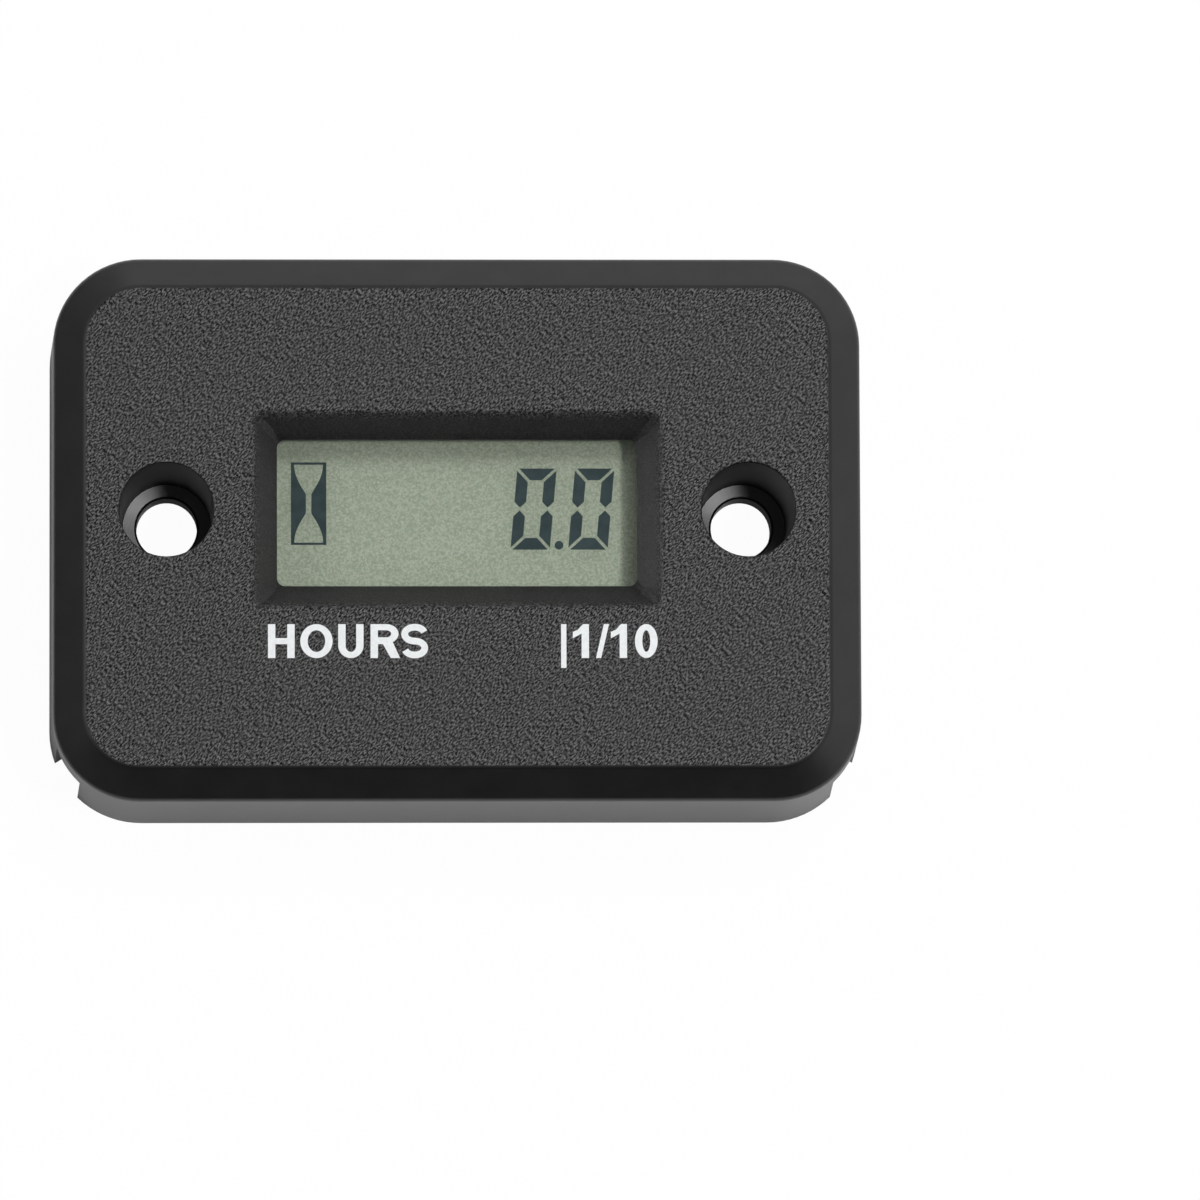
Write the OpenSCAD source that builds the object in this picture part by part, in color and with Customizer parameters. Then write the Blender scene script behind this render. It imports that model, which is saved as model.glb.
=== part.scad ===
// Surface-mounted hour meter with a liquid-crystal display, in millimetres.
// It lies on its rear rim: the origin is at the middle of that rim, +X runs to the
// reader's right, +Y to the top of the display and +Z out of the front face.
// Widths, heights and depth all follow from the display and the pieces stacked behind it.

/* [Window] */
// Width of the display opening
view_w = 26.4; // [22:0.2:34]
// Height of the display opening
view_h = 10.8; // [9:0.2:16]
// Corner radius of the display opening
view_r = 0.6; // [0.4:0.1:2]
// Width of the sloped bezel around the opening
bezel_w = 1.75; // [1:0.05:3]
// Depth of the sloped bezel
bezel_d = 2.4; // [1.8:0.1:3.2]
// Depth of the straight lip below the slope
lip_d = 0.6; // [0.4:0.1:1.2]
// Radius that softens the bezel's outer edge
bezel_edge_r = 0.5; // [0.1:0.05:0.8]
// How much further the bezel spreads at its corners than along its sides
bezel_flare = 0.75; // [0.3:0.05:1.2]
// How far the lens reaches behind the lip
lens_land = 1.5; // [1:0.1:3]
// Thickness of the lens
lens_t = 1.2; // [0.8:0.1:2]
// Play around the lens in its seat
lens_play = 0.1; // [0.05:0.05:0.3]
// Wall around the lens seat
lens_wall = 0.95; // [0.7:0.05:2]

/* [Front case] */
// Height of the display and screw axis above the middle of the case
axis_y = 1.25; // [0:0.05:3]
// Corner radius of the rear rim
corner_r = 6.8; // [5.5:0.1:8]
// Thickness of the skirt at the bevel
skirt_t = 1.8; // [1.2:0.1:2.4]
// Draft of the skirt on each side, from the bevel to the rim
skirt_draft = 0.4; // [0.1:0.05:0.8]
// Thickness of the front plate
plate_t = 2; // [1.4:0.1:2.4]
// Width of the front bevel
bevel_w = 2.35; // [1.5:0.05:3]
// Depth of the front bevel
bevel_d = 2.1; // [1.5:0.1:2.8]
// Radius that softens both edges of the bevel
bevel_edge_r = 0.8; // [0.2:0.1:0.9]
// Radius that softens the outer edge of the rear rim
rim_edge_r = 0.3; // [0.1:0.1:0.6]
// Wall of the chamber that holds the display and the board
chamber_wall = 1.6; // [1.4:0.1:2.4]
// Corner radius of the chamber, outside
chamber_r = 2; // [1.7:0.1:3]
// Gap between the chamber and the skirt, above and below
trough_w = 1.55; // [0.8:0.05:5]
// Thickness of the ribs that tie the chamber and the screw tubes to the skirt
rib_t = 1.2; // [0.8:0.1:2]
// Distance between the two ribs above the chamber, and between those below it
rib_pitch = 18; // [10:1:24]

/* [Screw tubes] */
// Diameter of the hole for the mounting screw
hole_d = 4.5; // [3.4:0.1:5.2]
// Diameter of the well for the screw head, at the front face
head_d = 6.9; // [6.4:0.1:9]
// Draft of the well on each side
head_draft = 0.2; // [0.05:0.05:0.3]
// Thickness of the seat under the screw head
seat_t = 3; // [2.4:0.1:5]
// Wall of the tube around the well
tube_wall = 1.3; // [1:0.1:2]
// Material between the chamber and the well
tube_land = 1.95; // [1.7:0.05:3]
// Material between the well and the side of the case
side_margin = 5.25; // [4.6:0.05:9]
// Radius that softens the well's mouth
mouth_r = 0.15; // [0.1:0.05:0.4]
// Chamfer at the mouth of the screw hole
hole_chamfer = 0.15; // [0.1:0.05:0.4]

/* [Lead slots] */
// Width of the slots at the corners of the skirt
slot_w = 3.05; // [1.6:0.05:3.4]
// Height of the slots above the rear rim
slot_h = 10; // [4:0.5:11]
// Direction of the slots from the case's length, in degrees
slot_turn = 33; // [20:1:50]

/* [Display] */
// Thickness of the seal between the lens and the display
seal_t = 0.3; // [0.2:0.1:0.8]
// How far the seal stays back from the opening and from the lens edge
seal_margin = 0.25; // [0.1:0.05:0.4]
// Thickness of the polarising film
film_t = 0.2; // [0.1:0.05:0.4]
// Distance from the edge of the glass to the films
film_margin = 0.5; // [0.2:0.1:0.8]
// Thickness of each glass plate
glass_t = 0.7; // [0.5:0.1:1.1]
// Gap between the two glass plates, filled by the segments and the edge seal
cell_gap = 0.1; // [0.05:0.05:0.2]
// Width of the edge seal between the glass plates
edge_seal_w = 0.8; // [0.4:0.1:1]
// How far the rear glass reaches past the opening, above and below
cell_margin = 1.1; // [0.9:0.1:2]
// Thickness of the reflector behind the display
reflector_t = 0.3; // [0.1:0.05:0.5]
// Width of each contact strip
strip_w = 2; // [1.2:0.1:3]
// Height of the contact strips between the board and the display
strip_h = 3; // [2.6:0.1:6]
// Distance from the end of the glass to the end of a contact strip
strip_end = 0.6; // [0.2:0.1:2]
// Wall of the display holder
holder_wall = 0.6; // [0.4:0.1:1.2]
// Thickness of the bars between the contact strips and the rear glass
bar_t = 0.4; // [0.3:0.1:1]
// Play between the holder and the chamber
holder_play = 0.2; // [0.1:0.05:0.5]
// Play of the glass and the contact strips in the holder
part_play = 0.1; // [0.05:0.05:0.2]

/* [Reading] */
// Height of a digit
digit_h = 6; // [4:0.1:8]
// Width of a digit
digit_w = 2.9; // [2.4:0.1:4]
// Width of a segment
stroke = 0.86; // [0.4:0.02:1]
// Gap between neighbouring segments
segment_gap = 0.22; // [0.1:0.02:0.4]
// Distance between the middles of the digits
digit_pitch = 4.25; // [4.1:0.05:6]
// Lean of the digits, in degrees
lean = 5; // [0:0.5:12]
// Distance from the last digit to the right edge of the opening
digit_margin = 1.8; // [0.5:0.1:4]
// Radius of the decimal point
point_r = 0.32; // [0.2:0.02:0.4]
// Height of the reading above the middle of the opening
reading_y = 0.65; // [-1:0.05:1]
// Width of the hourglass symbol
icon_w = 2.6; // [2:0.1:4]
// Height of the hourglass symbol
icon_h = 6.1; // [4:0.1:8]
// Height of the hourglass symbol above the middle of the opening
icon_y = 1.05; // [-0.5:0.05:1.2]
// Line width of the hourglass symbol
icon_line = 0.16; // [0.1:0.02:0.4]
// Width of the hourglass's neck
icon_neck = 0.4; // [0.2:0.02:0.8]
// Length of the hourglass's neck
icon_neck_l = 1.4; // [0.6:0.1:2]
// Distance from the hourglass to the left edge of the opening
icon_margin = 1.05; // [0.4:0.05:3]
// Fullness of the hourglass's bulbs, less for a fuller bulb
icon_fullness = 1.15; // [0.8:0.05:1.5]

/* [Board] */
// Thickness of the circuit board
board_t = 1.2; // [0.8:0.1:2]
// Play between the board and the chamber
board_play = 0.2; // [0.1:0.05:0.5]
// Radius of the bosses that the board is screwed to
boss_r = 1.7; // [1.5:0.1:2.4]
// Gap between a boss and what stands beside it
boss_gap = 0.3; // [0.2:0.05:1]
// How far the lower bosses stand in from the upper ones
boss_step = 4; // [2:0.5:6]
// Radius of the dome over the controller
dome_r = 4; // [3:0.1:5]
// Height of the dome over the controller
dome_h = 1.3; // [0.8:0.1:1.4]
// Diameter of the crystal's can
crystal_d = 2; // [1.5:0.1:3]
// Length of the crystal's can
crystal_l = 6; // [4:0.5:8]
// Diameter of the crystal's wires
wire_d = 0.3; // [0.2:0.05:0.5]
// Length of the crystal's wires, from the can to the bend
wire_l = 1.5; // [0.8:0.1:2]
// Length of a chip component
chip_l = 2; // [1:0.1:2.4]
// Width of a chip component
chip_w = 1.25; // [0.6:0.05:1.6]
// Height of a chip component
chip_h = 0.6; // [0.4:0.05:1.2]
// Distance between neighbouring chip components
chip_pitch = 2.6; // [2.5:0.1:3.4]

/* [Cell] */
// Diameter of the coin cell
cell_d = 20; // [12:0.5:22]
// Thickness of the coin cell
cell_t = 3.2; // [2.5:0.1:5]
// Diameter of the coin cell's negative cap
cap_d = 17.6; // [10:0.1:18]
// Height of the coin cell's negative cap
cap_h = 0.5; // [0.2:0.1:0.8]
// Thickness of the solder tabs
tab_t = 0.2; // [0.1:0.05:0.4]
// Width of the solder tabs
tab_w = 3.5; // [2:0.1:6]
// Distance from the cell's side to the leg of its tab
tab_gap = 0.5; // [0.2:0.1:1]
// How far a tab overlaps the face of the cell
tab_lap = 6; // [4:0.5:8]
// Play between the cell's tab and the rear cover
cell_play = 0.1; // [0.05:0.05:0.5]

/* [Rear cover] */
// Distance from the rear rim to the cover
cover_setback = 0.6; // [0.3:0.1:1.5]
// Thickness of the cover
cover_t = 1.6; // [1.4:0.1:2.4]
// Play between the cover and the screw tubes
cover_play = 0.15; // [0.1:0.05:0.4]
// Depth of the shallow panel in the cover's face
panel_d = 0.3; // [0.1:0.05:0.4]
// Distance from the cover's edge to the panel
panel_margin = 4; // [2.5:0.1:7]
// Radius of the ears that take the cover screws
ear_r = 2.5; // [2.3:0.1:3]
// Radius of the bosses under the ears
ear_boss_r = 1.9; // [1.6:0.1:2.2]
// How far the ears' middles stand out from the chamber
ear_reach = 1.5; // [1.2:0.1:2]
// Distance from the ears' middles to the chamber's ends
ear_inset = 2.4; // [1.6:0.1:4]
// Width of the gasket under the cover
gasket_w = 0.8; // [0.5:0.05:0.9]
// Depth of the gasket under the cover
gasket_d = 0.6; // [0.4:0.1:0.8]
// Play of the gasket in its groove, on each side
gasket_play = 0.05; // [0.02:0.01:0.1]

/* [Small screws] */
// Core diameter of the small screws
screw_d = 1.6; // [1.2:0.1:1.8]
// Diameter of the small screws' heads
screw_head_d = 3.2; // [2.6:0.1:3.6]
// Height of the small screws' heads
screw_head_h = 1; // [0.7:0.1:1.1]
// Length of the small screws under the head
screw_l = 5.5; // [4:0.5:7]
// Play between a screw and its pilot hole, on each side
pilot_play = 0.05; // [0.02:0.01:0.1]
// Play between a screw and the hole that it passes through, on each side
pass_play = 0.25; // [0.1:0.05:0.3]
// Width of the cross recess
cross_w = 0.45; // [0.3:0.05:0.6]
// Span of the cross recess
cross_l = 1.9; // [1.2:0.1:2.2]
// Depth of the cross recess
cross_d = 0.6; // [0.3:0.05:0.65]

/* [Lead inlet] */
// Diameter of the lead that the grommet takes
lead_d = 1.4; // [1:0.1:1.6]
// Rubber between the lead and the chamber's wall
grommet_wall = 0.4; // [0.3:0.05:0.5]
// Thickness of the grommet's flanges
flange_t = 0.8; // [0.5:0.1:1.2]
// Play between the grommet's flanges and what stands beside them
flange_play = 0.15; // [0.1:0.05:0.4]
// Play of the grommet in the chamber's wall, on each side
grommet_play = 0.05; // [0.02:0.01:0.1]
// Diameter of the lead terminal's stem
pin_d = 1.1; // [0.8:0.1:1.4]
// Diameter of the lead terminal's collars
collar_d = 1.9; // [1.5:0.1:2.2]
// Height of each collar of the lead terminal
collar_h = 0.4; // [0.3:0.1:0.6]
// Height of the lead terminal
pin_h = 2.4; // [1.6:0.1:2.8]

/* [Hidden] */

$fn = 96;
// Steps of a softened edge
edge_steps = 5;
// How far a cut runs past the face that it opens
past = 1;

// Depths, from the rear rim to the front face
z_cover = cover_setback;
z_rim = z_cover + cover_t;
z_tab = z_rim + cell_play;
z_cell = z_tab + tab_t;
z_cap = z_cell + cell_t;
z_board = z_cap + tab_t;
z_top = z_board + board_t;
z_ledge = z_top + strip_h;
z_film = z_ledge + glass_t;
z_seal = z_film + film_t;
z_lens = z_seal + seal_t;
z_lip = z_lens + lens_t;
z_slope = z_lip + lip_d;
case_t = z_slope + bezel_d;
z_plate = case_t - plate_t;
z_bevel = case_t - bevel_d;
z_rear_glass = z_ledge - cell_gap - glass_t;
z_reflector = z_rear_glass - reflector_t;

// Widths, from the display outwards
lens_w = view_w + 2 * lens_land;
lens_h = view_h + 2 * lens_land;
seat_reach = max(bezel_w, lens_land + lens_play) + lens_wall;
cavity_w = view_w + 2 * seat_reach;
chamber_w = cavity_w + 2 * chamber_wall;
holder_w = cavity_w - 2 * holder_play;
glass_w = holder_w - 2 * (holder_wall + part_play);
hole_x = cavity_w / 2 + tube_land + head_d / 2;
tube_r = head_d / 2 + tube_wall;
case_w = 2 * (hole_x + head_d / 2 + side_margin);

// Heights, from the display outwards
rear_glass_h = view_h + 2 * cell_margin;
strip_y = rear_glass_h / 2 + bar_t + 2 * part_play;
front_glass_h = 2 * (strip_y + strip_w);
holder_h = front_glass_h + 2 * (part_play + holder_wall);
boss_y = holder_h / 2 + boss_gap + boss_r;
boss_x = cavity_w / 2 - boss_r - boss_gap;
cavity_h = 2 * (axis_y + boss_y + boss_r + boss_gap);
chamber_h = cavity_h + 2 * chamber_wall;
case_h = chamber_h + 2 * (trough_w + skirt_t + skirt_draft);
seat_h = view_h + 2 * seat_reach;

// Inside of the skirt
skirt_in_w = case_w - 2 * (skirt_draft + skirt_t);
skirt_in_h = case_h - 2 * (skirt_draft + skirt_t);
skirt_in_r = corner_r - skirt_draft - skirt_t;

// Places of the board bosses and of the cover's ears
boss_places = [for (x = [-1, 1], up = [-1, 1])
    [x * (boss_x - (up < 0 ? boss_step : 0)), axis_y + up * boss_y]];
ear_x = chamber_w / 2 + ear_reach;
ear_y = cavity_h / 2 - ear_inset;
ear_places = [for (x = [-1, 1], y = [-1, 1]) [x * ear_x, y * ear_y]];
pilot_r = screw_d / 2 + pilot_play;
pass_r = screw_d / 2 + pass_play;

// The lead inlet, between the cover and the board
flange_r = (z_board - z_rim) / 2 - flange_play;
inlet_z = (z_board + z_rim) / 2;
inlet_y = axis_y - tube_r - flange_r - flange_play;
grommet_r = lead_d / 2 + grommet_wall;

// Shape helpers

function unit(v) = v / norm(v);

// Points of an arc that rounds the corner at p, between its neighbours a and b
function softened(a, p, b, r) =
    let (
        u = unit(a - p),
        v = unit(b - p),
        half = acos(u * v) / 2,
        middle = p + unit(u + v) * r / sin(half),
        from = p + u * r / tan(half) - middle,
        to = p + v * r / tan(half) - middle,
        start = atan2(from[1], from[0]),
        turn = (atan2(to[1], to[0]) - start + 540) % 360 - 180
    )
    [for (i = [0 : edge_steps]) let (a = start + turn * i / edge_steps) middle + r * [cos(a), sin(a)]];

// A block whose outline is a rounded rectangle. The profile gives its edge as points of
// [distance from the corner's middle, height], and starts and ends at distance 0.
module profiled_block(profile, half_x, half_y) {
    low = profile[0][1];
    high = profile[len(profile) - 1][1];
    corners = [[1, 1], [-1, 1], [-1, -1], [1, -1]];
    for (i = [0 : 3])
        translate([corners[i][0] * half_x, corners[i][1] * half_y, 0])
            rotate(90 * i) rotate_extrude(angle = 90) polygon(profile);
    for (turn = [0, 180]) rotate(turn) {
        translate([half_x, 0, 0]) rotate([90, 0, 0])
            linear_extrude(2 * half_y, center = true) polygon(profile);
        translate([0, half_y, 0]) rotate([90, 0, 90])
            linear_extrude(2 * half_x, center = true) polygon(profile);
    }
    translate([-half_x, -half_y, low]) cube([2 * half_x, 2 * half_y, high - low]);
}

module round_block(w, h, r, low, high) {
    profiled_block([[0, low], [r, low], [r, high], [0, high]], w / 2 - r, h / 2 - r);
}

module plate(w, h, low, high) {
    translate([-w / 2, -h / 2, low]) cube([w, h, high - low]);
}

module at_display() {
    translate([0, axis_y, 0]) children();
}

module at_places(places) {
    for (p = places) translate([p[0], p[1], 0]) children();
}

module at_tubes() {
    at_places([[-hole_x, axis_y], [hole_x, axis_y]]) children();
}

// Front case

module case_outline() {
    rim = [corner_r, 0];
    edge = [corner_r - skirt_draft, z_bevel];
    face = [edge[0] - bevel_w, case_t];
    profiled_block(
        concat(
            [[0, 0]],
            softened([0, 0], rim, edge, rim_edge_r),
            softened(rim, edge, face, bevel_edge_r),
            softened(edge, face, [0, case_t], bevel_edge_r),
            [[0, case_t]]
        ),
        case_w / 2 - corner_r, case_h / 2 - corner_r
    );
}

module skirt_ribs() {
    for (side = [-1, 1]) {
        translate([side * (hole_x + skirt_in_w / 4), axis_y, z_rim + z_plate / 2])
            cube([skirt_in_w / 2, rib_t, z_plate], center = true);
        for (x = [-1, 1])
            translate([x * rib_pitch / 2, side * case_h / 4, z_rim + z_plate / 2])
                cube([rib_t, case_h / 2, z_plate], center = true);
    }
}

// The hollow between the skirt and what stands inside it
module skirt_hollow() {
    difference() {
        round_block(skirt_in_w, skirt_in_h, skirt_in_r, -past, z_plate);
        round_block(chamber_w, chamber_h, chamber_r, z_rim, z_plate + past);
        at_tubes() cylinder(r = tube_r, h = z_plate + past);
        at_places(ear_places) translate([0, 0, z_rim]) cylinder(r = ear_boss_r, h = z_plate);
        skirt_ribs();
    }
}

// The chamber for the display and the board, with the lens seat and the bosses left in it
module chamber_hollow() {
    difference() {
        plate(cavity_w, cavity_h, z_rim - past, z_plate);
        at_display() plate(cavity_w + past, seat_h, z_lens, z_plate + past);
        at_places(boss_places) translate([0, 0, z_top]) cylinder(r = boss_r, h = z_plate);
    }
    at_display() plate(lens_w + 2 * lens_play, lens_h + 2 * lens_play, z_lens - past, z_lip);
}

// The outline of the bezel's slope, seen along one side
function slope_outline(opening) =
    let (
        inner = [opening / 2, z_slope],
        outer = [opening / 2 + bezel_w, case_t],
        edge = softened(inner, outer, outer + [bezel_w, 0], bezel_edge_r),
        right = concat([inner], edge, [[outer[0] + bezel_w, case_t + past]])
    )
    concat(right, [for (i = [len(right) - 1 : -1 : 0]) [-right[i][0], right[i][1]]]);

module window_cut() {
    spread = bezel_w + bezel_flare;
    rise = [view_r + spread * (bezel_d + past) / bezel_d, case_t + past];
    intersection() {
        rotate([90, 0, 0]) linear_extrude(case_h, center = true) polygon(slope_outline(view_w));
        rotate([90, 0, 90]) linear_extrude(case_w, center = true) polygon(slope_outline(view_h));
        profiled_block(
            [[0, z_slope], [view_r, z_slope], rise, [0, rise[1]]],
            view_w / 2 - view_r, view_h / 2 - view_r
        );
    }
    round_block(view_w, view_h, view_r, z_lip - past, z_slope + past / 2);
}

module screw_well() {
    floor_r = head_d / 2 - head_draft;
    mouth = [head_d / 2, case_t];
    translate([0, 0, -past]) cylinder(d = hole_d, h = seat_t + 2 * past);
    rotate_extrude()
        polygon(concat(
            [[0, seat_t - hole_chamfer], [hole_d / 2, seat_t - hole_chamfer]],
            [[hole_d / 2 + hole_chamfer, seat_t], [floor_r, seat_t]],
            softened([floor_r, seat_t], mouth, mouth + [head_d, 0], mouth_r),
            [[head_d, case_t + past], [0, case_t + past]]
        ));
}

// Slots through the skirt, square to its corners
module lead_slots() {
    for (x = [0, 1], y = [0, 1])
        mirror([x, 0, 0]) mirror([0, y, 0])
            translate([case_w / 2 - corner_r, case_h / 2 - corner_r, -past]) rotate(slot_turn)
                translate([0, -slot_w / 2, 0]) cube([corner_r + past, slot_w, slot_h + past]);
}

module gasket_ring(play, low, high) {
    middle = chamber_wall / 2;
    outer = middle + gasket_w / 2 + play;
    inner = middle - gasket_w / 2 - play;
    difference() {
        round_block(
            cavity_w + 2 * outer, cavity_h + 2 * outer, chamber_r - chamber_wall + outer,
            low, high
        );
        plate(cavity_w + 2 * inner, cavity_h + 2 * inner, low - past, high + past);
    }
}

module inlet_hole() {
    translate([past - cavity_w / 2, inlet_y, inlet_z]) rotate([0, -90, 0])
        cylinder(r = grommet_r + grommet_play, h = chamber_wall + 2 * past);
}

module pilot_hole() {
    translate([0, 0, -past]) cylinder(r = pilot_r, h = screw_l + past);
}

module front_case() {
    color("#333333")
        difference() {
            case_outline();
            skirt_hollow();
            chamber_hollow();
            plate(chamber_w + 2 * cover_play, chamber_h, -past, z_rim);
            at_display() window_cut();
            at_tubes() screw_well();
            lead_slots();
            inlet_hole();
            gasket_ring(gasket_play, z_rim - past, z_rim + gasket_d);
            at_places(ear_places) translate([0, 0, z_rim]) pilot_hole();
            at_places(boss_places) translate([0, 0, z_top]) pilot_hole();
        }
}

// Window and display

module window_lens() {
    color("#dfe6e2", 0.4) at_display() plate(lens_w, lens_h, z_lens, z_lip);
}

module lens_seal() {
    color("#202020") at_display() difference() {
        plate(lens_w - 2 * seal_margin, lens_h - 2 * seal_margin, z_seal, z_lens);
        plate(view_w + 2 * seal_margin, view_h + 2 * seal_margin, z_seal - past, z_lens + past);
    }
}

module display_polariser() {
    color("#9aa48c", 0.5) at_display()
        plate(glass_w - 2 * film_margin, front_glass_h - 2 * film_margin, z_film, z_seal);
}

module display_front_glass() {
    color("#b8c4b0", 0.5) at_display() plate(glass_w, front_glass_h, z_ledge, z_film);
}

module display_edge_seal() {
    color("#5b6658") at_display() difference() {
        plate(glass_w, rear_glass_h, z_ledge - cell_gap, z_ledge);
        plate(
            glass_w - 2 * edge_seal_w, rear_glass_h - 2 * edge_seal_w,
            z_ledge - past, z_ledge + past
        );
    }
}

module display_rear_glass() {
    color("#b8c4b0", 0.5) at_display() plate(glass_w, rear_glass_h, z_rear_glass, z_ledge - cell_gap);
}

module display_reflector() {
    color("#9aa48c") at_display()
        plate(glass_w - 2 * film_margin, rear_glass_h - 2 * film_margin, z_reflector, z_rear_glass);
}

// Outline of a level segment at the top of a digit, and of an upright one at its upper left.
// The gap between them runs at 45 degrees, so each keeps back from its middle by a cut.
function level_segment() =
    let (w = digit_w / 2, h = digit_h / 2, cut = segment_gap / sqrt(2))
    [[-w + cut, h], [w - cut, h], [w - stroke - cut, h - stroke], [-w + stroke + cut, h - stroke]];

function upright_segment() =
    let (w = digit_w / 2, h = digit_h / 2, cut = segment_gap / sqrt(2), tip = segment_gap / 2)
    [
        [-w, h - cut], [-w + stroke, h - stroke - cut], [-w + stroke, tip + stroke / 2],
        [-w + stroke / 2, tip], [-w, tip + stroke / 2]
    ];

// A segment mirrored in x and y, leaning with its digit
function leaning(outline, mx, my) = [for (p = outline) [mx * p[0] + my * p[1] * tan(lean), my * p[1]]];

module zero() {
    for (my = [-1, 1]) {
        polygon(leaning(level_segment(), 1, my));
        for (mx = [-1, 1]) polygon(leaning(upright_segment(), mx, my));
    }
}

// Half width of the hourglass's bulb, from its end (0) to the neck (1)
function bulb(t) =
    let (neck = icon_neck / 2, widest = icon_w / 2 - 1.5 * icon_line)
    neck + (widest - neck) * pow(1 - t * t, icon_fullness);

module hourglass() {
    steps = 10;
    reach = icon_h / 2 - icon_line;
    neck = icon_neck_l / 2;
    side = [for (i = [0 : steps]) [bulb(i / steps), reach + (neck - reach) * i / steps]];
    right = concat(side, [for (i = [steps : -1 : 0]) [side[i][0], -side[i][1]]]);
    difference() {
        square([icon_w, icon_h], center = true);
        polygon(concat(right, [for (i = [len(right) - 1 : -1 : 0]) [-right[i][0], right[i][1]]]));
    }
}

module display_segments() {
    last_x = view_w / 2 - digit_margin - digit_w / 2;
    point = [last_x - digit_pitch / 2 - digit_h / 2 * tan(lean), point_r - digit_h / 2];
    color("#2d3b40")
        at_display() translate([0, 0, z_ledge - cell_gap]) {
            translate([0, reading_y, 0]) {
                for (x = [last_x - digit_pitch, last_x])
                    translate([x, 0, 0]) linear_extrude(cell_gap) zero();
                translate(point) cylinder(r = point_r, h = cell_gap);
            }
            translate([-view_w / 2 + icon_margin + icon_w / 2, icon_y, 0])
                linear_extrude(cell_gap) hourglass();
        }
}

module display_holder() {
    bar_y = rear_glass_h / 2 + part_play;
    color("#e8e6df") at_display() {
        difference() {
            plate(holder_w, holder_h, z_top, z_film);
            plate(holder_w - 2 * holder_wall, holder_h - 2 * holder_wall, z_top - past, z_film + past);
        }
        for (turn = [0, 180]) rotate(turn)
            translate([-holder_w / 2 + holder_wall / 2, bar_y, z_top])
                cube([holder_w - holder_wall, bar_t, strip_h]);
    }
}

module contact_strips() {
    color("#c7a7a0") at_display()
        for (turn = [0, 180]) rotate(turn)
            translate([-glass_w / 2 + strip_end, strip_y, z_top])
                cube([glass_w - 2 * strip_end, strip_w, strip_h]);
}

// Board and what is soldered to it

module circuit_board() {
    color("#2f6b3f")
        difference() {
            plate(cavity_w - 2 * board_play, cavity_h - 2 * board_play, z_board, z_top);
            at_places(boss_places) translate([0, 0, z_board - past])
                cylinder(r = pass_r, h = board_t + 2 * past);
        }
}

module controller_dome() {
    ball_r = (dome_r * dome_r + dome_h * dome_h) / (2 * dome_h);
    color("#1b1b1d") at_display()
        intersection() {
            translate([0, 0, z_top + dome_h - ball_r]) sphere(r = ball_r);
            translate([0, 0, z_top]) cylinder(r = dome_r + past, h = dome_h + past);
        }
}

module crystal() {
    middle_z = z_top + crystal_d / 2 + part_play;
    color("#b9bcc0")
        translate([0, axis_y - boss_y - boss_r, 0]) {
            translate([-crystal_l / 2, 0, middle_z]) rotate([0, 90, 0])
                cylinder(d = crystal_d, h = crystal_l);
            for (y = [-1, 1]) translate([0, y * crystal_d / 4, 0]) {
                translate([crystal_l / 2 - wire_d, 0, middle_z]) rotate([0, 90, 0])
                    cylinder(d = wire_d, h = wire_l + 2 * wire_d);
                translate([crystal_l / 2 + wire_l, 0, z_top])
                    cylinder(d = wire_d, h = middle_z - z_top);
            }
        }
}

// The column of small parts beside the coin cell, on the board's rear face
chip_x = (cell_d / 2 + cavity_w / 2) / 2;

module chips(side, rows) {
    for (row = rows)
        translate([side * chip_x - chip_w / 2, axis_y + row * chip_pitch - chip_l / 2, z_board - chip_h])
            cube([chip_w, chip_l, chip_h]);
}

module resistors() {
    color("#26262a") chips(1, [-1.5, -0.5, 0.5, 1.5]);
}

module capacitors() {
    color("#b08a5a") chips(-1, [0.5, 1.5]);
}

module input_transistor() {
    color("#1d1d20") chips(-1, [-0.5]);
}

module clamp_diode() {
    color("#1d1d20") chips(1, [2.5]);
}

module lead_terminal() {
    color("#c9a75a")
        translate([-chip_x, inlet_y, z_board - pin_h]) {
            cylinder(d = pin_d, h = pin_h);
            cylinder(d = collar_d, h = collar_h);
            translate([0, 0, pin_h - collar_h]) cylinder(d = collar_d, h = collar_h);
        }
}

// A small cross-head screw, head down, with the underside of its head at height 0
module small_screw() {
    difference() {
        union() {
            translate([0, 0, -screw_head_h]) cylinder(d = screw_head_d, h = screw_head_h);
            cylinder(d = screw_d, h = screw_l);
        }
        for (turn = [0, 90]) rotate(turn)
            translate([-cross_l / 2, -cross_w / 2, -screw_head_h - past])
                cube([cross_l, cross_w, cross_d + past]);
    }
}

module board_screws() {
    color("#b5b7ba") at_places(boss_places) translate([0, 0, z_board]) small_screw();
}

// Coin cell and its tabs

module coin_cell() {
    color("#c4c6c8") at_display() {
        translate([0, 0, z_cell]) cylinder(d = cell_d, h = cell_t - cap_h);
        translate([0, 0, z_cell]) cylinder(d = cap_d, h = cell_t);
    }
}

module cell_tab_plus() {
    leg_y = -cell_d / 2 - tab_gap - tab_t;
    color("#d0cfc8") at_display() {
        translate([-tab_w / 2, leg_y, z_tab]) cube([tab_w, tab_gap + tab_t + tab_lap, tab_t]);
        translate([-tab_w / 2, leg_y, z_tab]) cube([tab_w, tab_t, z_board - z_tab]);
    }
}

module cell_tab_minus() {
    color("#d0cfc8") at_display()
        translate([-tab_w / 2, cap_d / 2 - tab_lap, z_cap]) cube([tab_w, tab_lap + tab_gap, tab_t]);
}

// Lead inlet, gasket and rear cover

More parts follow.
